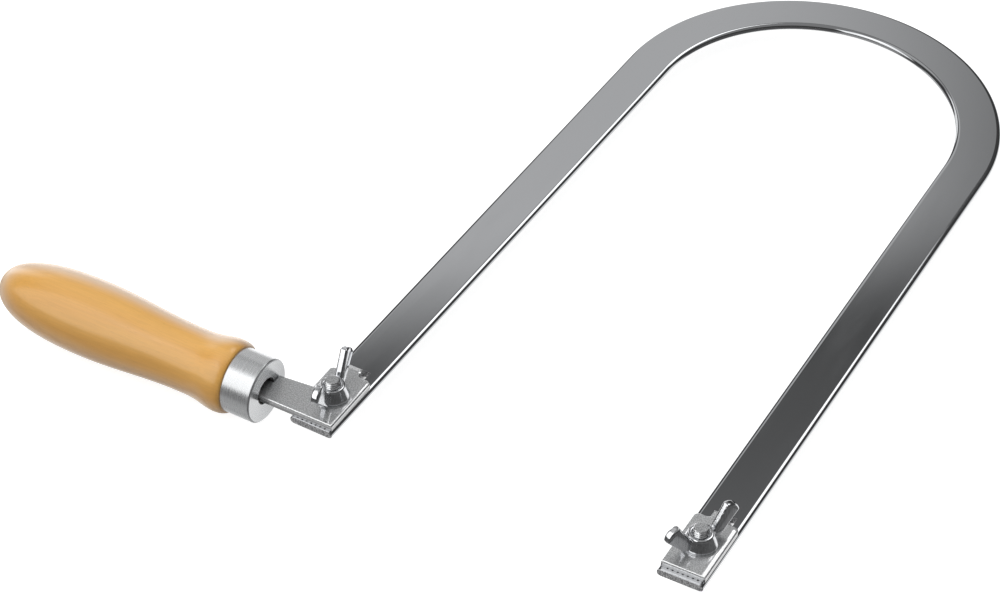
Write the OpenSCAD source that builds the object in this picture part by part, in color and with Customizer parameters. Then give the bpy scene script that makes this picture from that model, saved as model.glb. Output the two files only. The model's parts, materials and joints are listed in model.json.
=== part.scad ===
// Fret saw: a U-shaped bow of flat steel bar with a screw clamp on each tip for a
// 130 mm fret-saw blade, and a turned wooden handle on the bracket of one clamp.
// Millimetres. X runs from the handle side to the free side, Y from the blade to the
// arc of the bow, Z up through the clamp bolts. The origin is the middle of the blade
// line, on the face of the bow that the clamp plates press on.

/* [Bow] */
// Radius of the bow's arc, to the middle of the bar
bow_radius = 59.6; // [50:0.1:80]
// Length of each straight leg, from the end of the arc to the tip
leg_length = 214.4; // [120:0.1:320]
// How far each leg leans outwards, in degrees, to keep the blade tight
leg_splay = 1.16; // [0:0.01:2]
// Width of the flat bar
bar_width = 15.2; // [14.8:0.1:18]
// Thickness of the flat bar
bar_thick = 2.6; // [2.4:0.1:4]
// Radius of the bar's rolled edges
bar_edge_radius = 1.1; // [0.4:0.05:1.15]

/* [Jaws] */
// From a tip of the bow to the blade line
blade_setback = 6; // [3:0.1:8]
// From the handle side's tip to its clamp bolt
handle_bolt_setback = 12.5; // [12:0.1:15]
// From the free side's tip to its clamp bolt
free_bolt_setback = 13.4; // [12:0.1:15]
// Distance between the gripping teeth
tooth_pitch = 1.65; // [1.2:0.05:2.2]
// Depth of the grooves between the teeth
tooth_depth = 0.35; // [0.2:0.05:0.5]
// How far the teeth run back from a tip
tooth_run = 8.5; // [4:0.1:9]

/* [Clamp plates] */
// Thickness of the stamped plates
plate_thick = 2.3; // [1.5:0.1:3]
// Width of a plate across the bow
plate_width = 14.6; // [13:0.1:15]
// How far a plate lies outwards from the middle of its leg
plate_shift = 0.2; // [0:0.05:0.4]
// From the bolt to the front edge of a plate
jaw_reach = 11.8; // [11:0.1:12]
// From the bolt to the shoulders of a plate
shoulder_reach = 11.4; // [10:0.1:18]
// Radius of the plate's corners
plate_corner_radius = 1.5; // [0.5:0.1:3]
// Width of the tab behind the shoulders
tab_width = 5.6; // [4:0.1:6]
// How far the tab lies outwards from the middle of its plate
tab_shift = 0.4; // [0:0.05:0.5]
// Radius between a shoulder and the tab
tab_fillet_radius = 1.4; // [0.5:0.1:2]
// Inner radius where the tab bends down into the bow
tab_bend_radius = 0.6; // [0.3:0.1:1]
// Flat run of the tab from the shoulders to the start of its bend
tab_run = 1.9; // [0.5:0.1:4]
// How far the tab reaches below the top of the bow
tab_depth = 2.2; // [1.9:0.1:3]
// Room behind the tab in its slot
tab_clearance = 0.4; // [0.3:0.05:0.8]
// Room beside the tab in its slot
tab_side_room = 0.9; // [0.3:0.05:1.4]

/* [Handle bracket] */
// Width of the strip that carries the handle, where it leaves the plate
strip_root_width = 12.5; // [10:0.1:14]
// Width of the strip where it reaches the ferrule
strip_width = 11.3; // [9:0.1:13]
// From the middle of the bow's leg to the face of the ferrule
ferrule_reach = 19.1; // [16:0.1:26]
// Turn of the bracket on its bolt, in degrees
bracket_turn = 0.7; // [0:0.1:0.8]
// Width of the tang where it enters the handle
tang_width = 7.8; // [5:0.1:8]
// Length of the tang behind the face of the ferrule
tang_length = 48; // [30:0.5:70]
// Width of the tang at its point
tang_point_width = 2.6; // [1.5:0.1:4]
// Length over which the tang narrows to its point
tang_taper = 12; // [6:0.5:20]

/* [Ferrule] */
// Outer radius of the ferrule
ferrule_radius = 10.65; // [9:0.05:12]
// Length of the ferrule
ferrule_length = 10.6; // [7:0.1:14]
// Wall of the ferrule
ferrule_wall = 1; // [0.6:0.1:1.4]
// Radius of the hole in the face of the ferrule
ferrule_hole_radius = 4.5; // [4.2:0.05:5]
// Outer radius of the rounded rim of the ferrule's face
ferrule_rim_radius = 1; // [0.4:0.1:1]

/* [Wooden handle] */
// Depth of the round bore in the wood behind the ferrule's hole
tang_bore_depth = 8; // [3:0.5:20]
// Length of the wood behind the ferrule
wood_length = 90; // [70:0.5:120]
// Radius of the handle at its belly
belly_radius = 12.65; // [11:0.05:15]
// Radius of the handle at its waist
waist_radius = 10.68; // [9.5:0.02:12]
// Radius of the bead behind the ferrule
bead_radius = 12.15; // [11:0.05:13]
// Radius of the wood where it meets the ferrule
shoulder_radius = 10.8; // [9.9:0.05:11]
// Length from the ferrule to the top of the bead
bead_length = 3.7; // [2:0.1:6]
// Length from the ferrule to the waist
waist_place = 17.5; // [14:0.5:26]
// Length from the ferrule to the belly
belly_place = 54.9; // [40:0.1:64]
// How soon the wood falls from the bead to the waist: 1 is an even wave, more is sooner
waist_fall = 1.5; // [1:0.05:2.5]
// Fullness of the rounded butt: 2 is an ellipse, more is fuller
butt_fullness = 2.4; // [2:0.05:3.5]

/* [Clamp bolts] */
// Radius of the bolts over the thread
bolt_radius = 2.45; // [2:0.05:2.6]
// How far the bolts stand above the bow
bolt_height = 9; // [7.5:0.1:14]
// Bevel on the end of the bolts
bolt_bevel = 0.6; // [0.2:0.1:1]
// Radius of the round heads under the bow
head_radius = 5.8; // [4.5:0.1:6.5]
// Height of the round heads
head_height = 2.4; // [1.5:0.1:3]
// Side of the square neck under the head
neck_side = 5; // [4.9:0.1:5.6]
// Room around the neck in its square hole
neck_clearance = 0.1; // [0.05:0.05:0.3]
// Room around the bolt in the plate's round hole
bolt_clearance = 0.6; // [0.5:0.05:0.8]

/* [Wing nuts] */
// Radius of the nut at its foot
nut_foot_radius = 5.45; // [5:0.05:6]
// Radius of the nut at the top of its hub
nut_top_radius = 4.1; // [3.6:0.05:4.6]
// Height of the hub
nut_height = 4.8; // [4:0.1:6]
// Bevel around the foot of the nut
nut_foot_bevel = 0.35; // [0.1:0.05:0.6]
// Radius of the rounded top edge of the hub
nut_top_round = 0.6; // [0.2:0.05:0.9]
// Running clearance of the nut on the bolt
nut_clearance = 0.05; // [0.02:0.01:0.1]
// From the bolt's axis to the end of a wing
wing_span = 12.9; // [10:0.1:15]
// Height of the wings above the foot of the nut
wing_height = 11.8; // [8:0.1:14]
// Thickness of the wings
wing_thick = 2.6; // [1.6:0.1:3]
// Width of a wing across its end
wing_width = 5.4; // [4:0.1:6.5]
// Radius of a wing's rounded end
wing_end_radius = 4.3; // [3.3:0.1:8]
// Slope of a wing from the plate, in degrees
wing_slope = 51; // [40:1:60]
// From the bolt's axis to where a wing leaves the foot of the nut
wing_root_reach = 6.3; // [5:0.1:7]
// Turn of the handle side's wing nut, in degrees from +X
handle_nut_turn = 97; // [0:1:180]
// Turn of the free side's wing nut, in degrees from +X
free_nut_turn = 64; // [0:1:180]

/* [Hidden] */
$fn = 64;
overrun = 1;
handle_side = -1;
free_side = 1;

chrome_colour = [0.62, 0.63, 0.65];
zinc_colour = [0.72, 0.73, 0.74];
ferrule_colour = [0.78, 0.79, 0.80];
wood_colour = [0.88, 0.66, 0.38];
bolt_colour = [0.66, 0.67, 0.68];
nut_colour = [0.80, 0.81, 0.83];

// The tips of the bow and the middle of its arc
tip_x = bow_radius * cos(leg_splay) + leg_length * sin(leg_splay);
tip_y = -blade_setback;
arc_y = tip_y + leg_length * cos(leg_splay) - bow_radius * sin(leg_splay);

// Places along a leg, measured from its bolt
bend_y = shoulder_reach + tab_run;
slot_length = tab_bend_radius + plate_thick + tab_clearance;
slot_width = tab_width + 2 * tab_side_room;
slot_shift = plate_shift + tab_shift;
tooth_count = floor((plate_width - 2 * bar_edge_radius) / tooth_pitch);

// The tang runs on along the strip's front edge, and the handle's axis is its middle
handle_axis_y = tang_width / 2 - jaw_reach;
handle_axis_z = plate_thick / 2;

function bolt_setback(side) = side == handle_side ? handle_bolt_setback : free_bolt_setback;

// Stands a child at the tip of a leg: local X points outwards, local Y up the leg
module at_tip(side) {
    translate([side * tip_x, tip_y, 0])
        rotate([0, 0, side * leg_splay])
            mirror([side == handle_side ? 1 : 0, 0, 0])
                children();
}

// Stands a child at the bolt of a leg, in the directions of at_tip
module at_bolt(side) {
    at_tip(side)
        translate([0, bolt_setback(side), 0])
            children();
}

// Stands a child in the bracket, which sits a little turned on its bolt
module in_bracket() {
    at_bolt(handle_side)
        rotate([0, 0, -bracket_turn])
            children();
}

// Stands a child on the handle's axis: local Z runs from the ferrule's face to the butt
module on_handle_axis() {
    in_bracket()
        translate([ferrule_reach, handle_axis_y, handle_axis_z])
            rotate([0, 90, 0])
                children();
}

// Section of the bar: a flat strip with four rolled edges, its top at the level of y = 0
module bar_section() {
    edge_steps = 4;
    half_width = bar_width / 2 - bar_edge_radius;
    half_thick = bar_thick / 2 - bar_edge_radius;
    polygon([
        for (corner = [[1, 1, 0], [-1, 1, 90], [-1, -1, 180], [1, -1, 270]], i = [0 : edge_steps])
            let (angle = corner[2] + 90 * i / edge_steps)
                [corner[0] * half_width, corner[1] * half_thick - bar_thick / 2]
                    + bar_edge_radius * [cos(angle), sin(angle)]
    ]);
}

// One straight leg, from its tip to the arc
module leg(side) {
    at_tip(side)
        translate([0, leg_length, 0])
            rotate([90, 0, 0])
                linear_extrude(leg_length)
                    bar_section();
}

// Grooves along the leg that leave a row of teeth across the jaw, which starts at front_y
module tooth_grooves(front_y) {
    for (i = [0 : tooth_count - 1])
        translate([plate_shift + (i - (tooth_count - 1) / 2) * tooth_pitch, front_y + tooth_run, 0])
            rotate([90, 0, 0])
                linear_extrude(tooth_run + overrun)
                    polygon([
                        [-tooth_depth, 0], [0, -tooth_depth],
                        [tooth_depth, 0], [0, tooth_depth]
                    ]);
}

// Square hole for the bolt's neck and slot for the plate's tab
module leg_openings() {
    hole_side = neck_side + 2 * neck_clearance;
    translate([-hole_side / 2, -hole_side / 2, -bar_thick - overrun])
        cube([hole_side, hole_side, bar_thick + 2 * overrun]);
    translate([slot_shift - slot_width / 2, bend_y, -bar_thick - overrun])
        cube([slot_width, slot_length, bar_thick + 2 * overrun]);
}

module bow() {
    color(chrome_colour)
        difference() {
            union() {
                leg(handle_side);
                leg(free_side);
                translate([0, arc_y, 0])
                    rotate([0, 0, leg_splay])
                        rotate_extrude(angle = 180 - 2 * leg_splay, $fn = 180)
                            translate([bow_radius, 0])
                                bar_section();
            }
            for (side = [handle_side, free_side])
                at_bolt(side) {
                    leg_openings();
                    tooth_grooves(-bolt_setback(side));
                }
        }
}

// Outline of a plate with rounded rear corners and the flat run of its tab
module plate_outline() {
    plate_length = jaw_reach + shoulder_reach;
    corner = plate_width / 2 - plate_corner_radius;
    translate([plate_shift, 0]) {
        translate([-plate_width / 2, -jaw_reach])
            square([plate_width, plate_length - plate_corner_radius]);
        translate([-corner, -jaw_reach])
            square([2 * corner, plate_length]);
        for (x = [-corner, corner])
            translate([x, shoulder_reach - plate_corner_radius])
                circle(plate_corner_radius);
    }
    translate([slot_shift, shoulder_reach]) {
        translate([-tab_width / 2, -overrun])
            square([tab_width, tab_run + overrun]);
        tab_fillets();
    }
}

// Concave corners between the shoulders and the tab
module tab_fillets() {
    fillet = min(tab_fillet_radius, tab_run);
    for (x = [-1, 1])
        difference() {
            translate([x * tab_width / 2 - (x < 0 ? fillet : 0), 0])
                square(fillet);
            translate([x * (tab_width / 2 + fillet), fillet])
                circle(fillet);
        }
}

// The tab's quarter bend and the part that goes down into the bow's slot
module tab_bend() {
    outer = tab_bend_radius + plate_thick;
    translate([slot_shift - tab_width / 2, bend_y, -tab_bend_radius])
        rotate([90, 0, 90])
            linear_extrude(tab_width) {
                intersection() {
                    difference() {
                        circle(outer);
                        circle(tab_bend_radius);
                    }
                    square(outer);
                }
                translate([tab_bend_radius, tab_bend_radius - tab_depth])
                    square([plate_thick, tab_depth - tab_bend_radius]);
            }
}

// A clamp plate, with room for whatever the children add to its outline
module clamp_plate() {
    difference() {
        union() {
            linear_extrude(plate_thick) {
                plate_outline();
                children();
            }
            tab_bend();
        }
        translate([0, 0, -overrun])
            cylinder(r = bolt_radius + bolt_clearance, h = plate_thick + 2 * overrun);
        tooth_grooves(-jaw_reach);
    }
}

module free_clamp_plate() {
    color(zinc_colour)
        at_bolt(free_side)
            clamp_plate();
}

// Outline of the tang, which narrows to a blunt point inside the wood
module tang_outline() {
    end_x = ferrule_reach + tang_length;
    translate([0, handle_axis_y])
        polygon([
            [ferrule_reach - overrun, -tang_width / 2],
            [end_x - tang_taper, -tang_width / 2],
            [end_x, -tang_point_width / 2],
            [end_x, tang_point_width / 2],
            [end_x - tang_taper, tang_width / 2],
            [ferrule_reach - overrun, tang_width / 2]
        ]);
}

// Outline of the strip between the plate and the ferrule
module strip_outline() {
    translate([0, -jaw_reach])
        polygon([
            [0, 0],
            [ferrule_reach, 0],
            [ferrule_reach, strip_width],
            [plate_shift + plate_width / 2, strip_root_width],
            [0, strip_root_width]
        ]);
}

module handle_bracket() {
    color(zinc_colour)
        in_bracket()
            clamp_plate() {
                strip_outline();
                tang_outline();
            }
}

module ferrule() {
    rim = ferrule_rim_radius;
    inner_radius = ferrule_radius - ferrule_wall;
    color(ferrule_colour)
        on_handle_axis()
            rotate_extrude($fn = 120)
                difference() {
                    union() {
                        square([ferrule_radius - rim, ferrule_length]);
                        translate([0, rim])
                            square([ferrule_radius, ferrule_length - rim]);
                        translate([ferrule_radius - rim, rim])
                            circle(rim);
                    }
                    translate([0, ferrule_wall])
                        square([inner_radius, ferrule_length]);
                    translate([0, -overrun])
                        square([ferrule_hole_radius, ferrule_wall + 2 * overrun]);
                }
}

// Radius of the wood at a length x behind the ferrule: a quarter ellipse up to the
// bead, a cosine down to the waist and up to the belly, then a superellipse to the butt
function wood_radius(x) =
    x < bead_length
        ? shoulder_radius + (bead_radius - shoulder_radius) * sqrt(1 - pow(1 - x / bead_length, 2))
    : x < waist_place
        ? bead_radius + (waist_radius - bead_radius)
            * ease(1 - pow((waist_place - x) / (waist_place - bead_length), waist_fall))
    : x < belly_place
        ? waist_radius + (belly_radius - waist_radius)
            * ease((x - waist_place) / (belly_place - waist_place))
    : belly_radius * pow(1 - pow((x - belly_place) / (wood_length - belly_place), butt_fullness),
        1 / butt_fullness);

// Half a cosine wave, from 0 at 0 to 1 at 1
function ease(t) = (1 - cos(180 * t)) / 2;

module wood_handle() {
    bead_steps = 6;
    body_steps = 22;
    butt_steps = 16;
    bead = [for (i = [0 : bead_steps - 1]) bead_length * pow(i / bead_steps, 2)];
    body = [for (i = [0 : body_steps - 1]) bead_length + (belly_place - bead_length) * i / body_steps];
    butt = [for (i = [0 : butt_steps]) belly_place
        + (wood_length - belly_place) * sin(90 * i / butt_steps)];
    spigot_radius = ferrule_radius - ferrule_wall;
    spigot_length = ferrule_length - ferrule_wall;
    color(wood_colour)
        difference() {
            on_handle_axis()
                translate([0, 0, ferrule_length])
                    rotate_extrude($fn = 96)
                        polygon(concat(
                            [[0, -spigot_length], [spigot_radius, -spigot_length], [spigot_radius, 0]],
                            [for (x = concat(bead, body, butt)) [wood_radius(x), x]]
                        ));
            on_handle_axis()
                cylinder(r = ferrule_hole_radius, h = ferrule_wall + tang_bore_depth);
            in_bracket()
                linear_extrude(plate_thick)
                    tang_outline();
        }
}

// A round-headed bolt with a square neck, pushed up through the bow from below
module clamp_bolt(side) {
    dome_radius = (pow(head_radius, 2) + pow(head_height, 2)) / (2 * head_height);
    color(bolt_colour)
        at_bolt(side) {
            translate([-neck_side / 2, -neck_side / 2, -bar_thick])
                cube([neck_side, neck_side, bar_thick]);
            translate([0, 0, -bar_thick])
                cylinder(r = bolt_radius, h = bar_thick + bolt_height - bolt_bevel);
            translate([0, 0, bolt_height - bolt_bevel])
                cylinder(r1 = bolt_radius, r2 = bolt_radius - bolt_bevel, h = bolt_bevel);
            intersection() {
                translate([0, 0, dome_radius - bar_thick - head_height])
                    sphere(dome_radius);
                translate([0, 0, -bar_thick - head_height])
                    cylinder(r = head_radius, h = head_height);
            }
        }
}

module handle_clamp_bolt() {
    clamp_bolt(handle_side);
}

module free_clamp_bolt() {
    clamp_bolt(free_side);
}

// Half section of the hub: bevelled foot, cone, rounded top edge and countersunk mouth
module hub_section() {
    bore_radius = bolt_radius + nut_clearance;
    round_height = nut_height - nut_top_round;
    polygon([
        [bore_radius, 0],
        [nut_foot_radius - nut_foot_bevel, 0],
        [nut_foot_radius, nut_foot_bevel],
        [nut_foot_radius, 2 * nut_foot_bevel],
        [nut_top_radius, round_height],
        [nut_top_radius - nut_top_round, nut_height],
        [bore_radius + nut_foot_bevel, nut_height],
        [bore_radius, nut_height - nut_foot_bevel]
    ]);
    translate([nut_top_radius - nut_top_round, round_height])
        circle(nut_top_round);
}

// Side view of one wing: it flares from the hub to a rounded end
module wing_outline() {
    along = [cos(wing_slope), sin(wing_slope)];
    across = [sin(wing_slope), -cos(wing_slope)];
    top = [wing_span - wing_width * across[0], wing_height];
    low = top + wing_width * across;
    end_middle = (top + low) / 2;
    end_centre_depth = sqrt(pow(wing_end_radius, 2) - pow(wing_width / 2, 2));
    polygon([
        top,
        low,
        [wing_root_reach, nut_foot_bevel],
        [0, nut_foot_bevel],
        [0, nut_height - nut_top_round],
        [nut_top_radius, nut_height - nut_top_round]
    ]);
    intersection() {
        translate(end_middle - end_centre_depth * along)
            circle(wing_end_radius);
        translate(end_middle)
            rotate(wing_slope)
                translate([0, -wing_width / 2])
                    square(wing_width);
    }
}

module wing_nut(side, turn) {
    bore_radius = bolt_radius + nut_clearance;
    local_turn = side == handle_side ? 180 - turn - leg_splay : turn - leg_splay;
    color(nut_colour)
        at_bolt(side)
            translate([0, 0, plate_thick])
                rotate([0, 0, local_turn])
                    difference() {
                        union() {
                            rotate_extrude()
                                hub_section();
                            for (half_turn = [0, 180])
                                rotate([90, 0, half_turn])
                                    translate([0, 0, -wing_thick / 2])
                                        linear_extrude(wing_thick)
                                            wing_outline();
                        }
                        translate([0, 0, -overrun])
                            cylinder(r = bore_radius, h = wing_height + 2 * overrun);
                    }
}

module handle_wing_nut() {
    wing_nut(handle_side, handle_nut_turn);
}

module free_wing_nut() {
    wing_nut(free_side, free_nut_turn);
}

bow();
handle_bracket();
ferrule();
wood_handle();
free_clamp_plate();
handle_clamp_bolt();
free_clamp_bolt();
handle_wing_nut();
free_wing_nut();
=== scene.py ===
"""Fret saw with a chromed bow, two screw clamps and a turned wooden handle, in metres."""

import json
import math

import bmesh
import bpy
import numpy as np
from mathutils import Matrix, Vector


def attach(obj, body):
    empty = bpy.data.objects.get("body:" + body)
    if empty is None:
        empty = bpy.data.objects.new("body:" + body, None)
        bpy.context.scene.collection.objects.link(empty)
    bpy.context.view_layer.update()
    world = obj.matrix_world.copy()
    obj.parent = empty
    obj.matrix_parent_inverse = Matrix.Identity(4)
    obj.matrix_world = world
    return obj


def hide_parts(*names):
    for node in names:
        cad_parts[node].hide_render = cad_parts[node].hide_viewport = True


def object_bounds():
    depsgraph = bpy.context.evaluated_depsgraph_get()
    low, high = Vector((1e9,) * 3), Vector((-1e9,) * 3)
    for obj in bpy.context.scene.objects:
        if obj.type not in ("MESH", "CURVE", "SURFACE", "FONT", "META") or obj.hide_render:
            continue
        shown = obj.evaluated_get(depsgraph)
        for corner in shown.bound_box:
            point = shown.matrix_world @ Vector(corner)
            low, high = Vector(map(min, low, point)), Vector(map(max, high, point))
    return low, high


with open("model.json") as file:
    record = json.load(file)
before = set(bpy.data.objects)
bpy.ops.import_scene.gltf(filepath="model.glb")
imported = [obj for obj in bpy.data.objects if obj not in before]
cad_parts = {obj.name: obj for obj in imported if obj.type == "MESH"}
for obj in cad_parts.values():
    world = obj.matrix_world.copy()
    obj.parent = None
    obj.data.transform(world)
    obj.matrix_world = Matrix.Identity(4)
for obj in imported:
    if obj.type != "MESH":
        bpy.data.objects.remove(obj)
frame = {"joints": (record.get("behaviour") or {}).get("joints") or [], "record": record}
cad_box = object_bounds()

# Camera and studio
# A long lens looks down on the saw from the right of its tips. The saw lies on a white
# floor, under a soft overhead lamp, and white cards stand round it in a dim room.
camera_place = (0.351484, -0.624226, 0.714277)
camera_azimuth = math.radians(29.4527)
camera_elevation = math.radians(41.6543)
camera_roll = math.radians(0.642)
camera_lens = 120.712

camera_data = bpy.data.cameras.new("camera")
camera_data.lens = camera_lens
camera_data.clip_start = 0.05
camera_data.clip_end = 20.0
camera = bpy.data.objects.new("camera", camera_data)
camera.matrix_world = (
    Matrix.Translation(camera_place)
    @ Matrix.Rotation(camera_azimuth, 4, "Z")
    @ Matrix.Rotation(math.radians(90) - camera_elevation, 4, "X")
    @ Matrix.Rotation(camera_roll, 4, "Z")
)
bpy.context.scene.collection.objects.link(camera)
bpy.context.scene.camera = camera
bpy.context.scene.view_settings.view_transform = "Standard"


def add_node(tree, kind, inputs=None, **settings):
    """Adds a shader node. An input given as a socket is linked, and any other is set."""
    node = tree.nodes.new("ShaderNode" + kind)
    for name, value in settings.items():
        setattr(node, name, value)
    for key, value in (inputs or {}).items():
        if isinstance(value, bpy.types.NodeSocket):
            tree.links.new(value, node.inputs[key])
        else:
            node.inputs[key].default_value = value
    return node


def smooth_step(tree, value, low, high, at_low, at_high):
    """A smooth rise from at_low, where value is low, to at_high, where it is high."""
    inputs = {0: value, 1: low, 2: high, 3: at_low, 4: at_high}
    return add_node(tree, "MapRange", inputs, interpolation_type="SMOOTHSTEP").outputs[0]


def maths(tree, operation, *values):
    """The result of one Math node."""
    return add_node(tree, "Math", dict(enumerate(values)), operation=operation).outputs[0]


def new_material(name, sockets, kind="BsdfPrincipled"):
    """A node material: returns it, its tree and its shader with sockets set."""
    material = bpy.data.materials.new(name)
    material.use_nodes = True
    tree = material.node_tree
    tree.nodes.clear()
    shader = add_node(tree, kind, sockets)
    add_node(tree, "OutputMaterial", {"Surface": shader.outputs[0]})
    return material, tree, shader


def link(tree, source, shader, socket):
    """Links a socket to one of the shader's."""
    tree.links.new(source, shader.inputs[socket])


# Upright boards round the saw. Each faces it from an azimuth, in degrees from +Y towards
# -X, and spans from left to right and from bottom to top, as multiples of its distance.
# The fades are the widths of its four soft edges, in the same order.
studio_boards = [
    # azimuth, (left, right, bottom, top), (fades), brightness
    (40, (-0.04, 0.38, -0.75, 0.91), (0.14, 0.24, 0.2, 0.075), 0.56),
    (58, (-0.24, 0.07, -0.2, 0.86), (0.08, 0.08, 0.1, 0.1), 1.2),
    (-4, (-0.37, 0.42, 0.97, 1.9), (0.08, 0.1, 0.06, 0.3), 1.9),
    (150, (-0.58, 0.47, 0.2, 1.9), (0.1, 0.1, 0.06, 0.5), 1.5),
    (125, (-0.6, 0.2, 1.25, 3.4), (0.3, 0.2, 0.2, 1.0), 0.7),
    (85, (-0.9, 0.9, 1.0, 2.6), (0.5, 0.5, 0.3, 1.0), 0.25),
    (0, (-1.5, 1.15, -1.9, -0.1), (0.8, 0.5, 0.8, 0.3), 0.95),
    (75, (-0.6, 0.6, -2.0, -0.45), (0.3, 0.3, 1.2, 0.4), 0.6),
    (155, (-0.5, 0.5, -2.2, -0.4), (0.3, 0.3, 0.5, 0.3), 0.3),
]
# Brightness of the room against height, from straight down to straight up. The lower
# half stands for the pale floor in the metal, which doesn't mirror the floor itself.
room_levels = [
    (-1.0, 0.5),
    (-0.91, 0.38),
    (-0.8, 0.22),
    (-0.66, 0.11),
    (-0.12, 0.11),
    (0.12, 0.05),
    (0.62, 0.07),
    (0.7, 0.14),
    (0.77, 0.3),
    (1.0, 0.3),
]
least_depth = 0.0001


def board_light(tree, direction, azimuth, span, fades, brightness):
    """Light of an upright board: soft steps over the point where a ray meets its plane."""
    a = math.radians(azimuth)
    towards = (-math.sin(a), math.cos(a), 0.0)
    beside = (math.cos(a), math.sin(a), 0.0)
    dot = {"operation": "DOT_PRODUCT"}
    depth = add_node(tree, "VectorMath", {0: direction, 1: towards}, **dot).outputs["Value"]
    depth = maths(tree, "MAXIMUM", depth, least_depth)
    sideways = add_node(tree, "VectorMath", {0: direction, 1: beside}, **dot).outputs["Value"]
    height = add_node(tree, "SeparateXYZ", {0: direction}).outputs["Z"]
    light = brightness
    for i, distance in enumerate((sideways, sideways, height, height)):
        place = maths(tree, "DIVIDE", distance, depth)
        low, high = span[i] - fades[i] / 2, span[i] + fades[i] / 2
        step = smooth_step(tree, place, low, high, i % 2, 1 - i % 2)
        light = maths(tree, "MULTIPLY", light, step)
    return light


world = bpy.data.worlds.new("studio")
bpy.context.scene.world = world
world.use_nodes = True
tree = world.node_tree
tree.nodes.clear()
direction = add_node(tree, "TexCoord").outputs["Generated"]
height = add_node(tree, "SeparateXYZ", {0: direction}).outputs["Z"]
height = maths(tree, "MULTIPLY_ADD", height, 0.5, 0.5)
room = add_node(tree, "ValToRGB", {"Fac": height})
for i, (z, level) in enumerate(room_levels):
    stops = room.color_ramp.elements
    stop = stops[i] if i < len(stops) else stops.new(1.0)
    stop.position = (z + 1) / 2
    stop.color = (level, level, level, 1.0)
light = room.outputs[0]
for azimuth, span, fades, brightness in studio_boards:
    board = board_light(tree, direction, azimuth, span, fades, brightness)
    light = maths(tree, "ADD", light, board)
studio = add_node(tree, "Background", {"Color": light})
backdrop = add_node(tree, "Background", {"Color": (1.0, 1.0, 1.0, 1.0)})
seen = add_node(tree, "LightPath").outputs["Is Camera Ray"]
shown = add_node(tree, "MixShader", {0: seen, 1: studio.outputs[0], 2: backdrop.outputs[0]})
add_node(tree, "OutputWorld", {"Surface": shown.outputs[0]})

lamp_data = bpy.data.lights.new("overhead", "AREA")
lamp_data.shape = "DISK"
lamp_data.size = 1.5
lamp_data.energy = 11.0
lamp = bpy.data.objects.new("overhead", lamp_data)
lamp.location = (-0.25, -0.1, 1.4)
lamp.visible_glossy = False
bpy.context.scene.collection.objects.link(lamp)

floor_reach = 6.0
floor_gap = 0.0002
floor_glow = 0.88
floor_z = cad_box[0].z - floor_gap
floor_mesh = bpy.data.meshes.new("floor")
floor_mesh.from_pydata(
    [(x * floor_reach, y * floor_reach, floor_z) for x, y in ((-1, -1), (1, -1), (1, 1), (-1, 1))],
    [],
    [(0, 1, 2, 3)],
)
floor = bpy.data.objects.new("floor", floor_mesh)
bpy.context.scene.collection.objects.link(floor)
floor.visible_glossy = False

floor_paint, tree, shader = new_material(
    "floor_paint",
    {
        "Base Color": (0.5, 0.5, 0.5, 1.0),
        "Roughness": 0.9,
        "Specular IOR Level": 0.0,
        "Emission Color": (1.0, 1.0, 1.0, 1.0),
    },
)
seen = add_node(tree, "LightPath").outputs["Is Camera Ray"]
link(tree, maths(tree, "MULTIPLY", seen, floor_glow), shader, "Emission Strength")
floor_mesh.materials.append(floor_paint)

# A white card close behind the handle brightens the left sides of the free wing nut. It
# is only seen in reflections.
card_reach = ((-0.39, -0.09), (-0.29, -0.35))
card_bottom = 0.04
card_top = 0.47
card_brightness = 1.5
card_corners = [(x, y, card_bottom) for x, y in card_reach]
card_corners += [(x, y, card_top) for x, y in card_reach[::-1]]
card_mesh = bpy.data.meshes.new("card")
card_mesh.from_pydata(card_corners, [], [(0, 1, 2, 3)])
card = bpy.data.objects.new("card", card_mesh)
bpy.context.scene.collection.objects.link(card)
card.visible_camera = False
card.visible_diffuse = False
card.visible_shadow = False

card_light = {"Color": (1.0, 1.0, 1.0, 1.0), "Strength": card_brightness}
card_mesh.materials.append(new_material("card_paint", card_light, "Emission")[0])

# Bow
# One flat steel bar, bent on edge into a deep U, ground along its length and hard
# chrome plated. Each tip is cut off square and has a bolt hole, a slot and teeth.
bow_radius = 0.0596
leg_length = 0.2144
leg_splay = math.radians(1.16)
bar_width = 0.0152
bar_thick = 0.0026
bar_edge = 0.0011
bar_edge_across = 0.0015
tip_y = -0.006
tip_x = bow_radius * math.cos(leg_splay) + leg_length * math.sin(leg_splay)
arc_y = tip_y + leg_length * math.cos(leg_splay) - bow_radius * math.sin(leg_splay)
arc_steps = 180
edge_steps = 12
tip_bevel = 0.00012
opening_bevel = 0.0001
bevel_angle = math.radians(40)
grind_height = 0.0000006
torn_height = 0.00012


def mix_colours(tree, share, first, second, **settings):
    """The colour that a Mix node makes of two."""
    inputs = {0: share, 6: first, 7: second}
    return add_node(tree, "Mix", inputs, data_type="RGBA", **settings).outputs[2]


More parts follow.
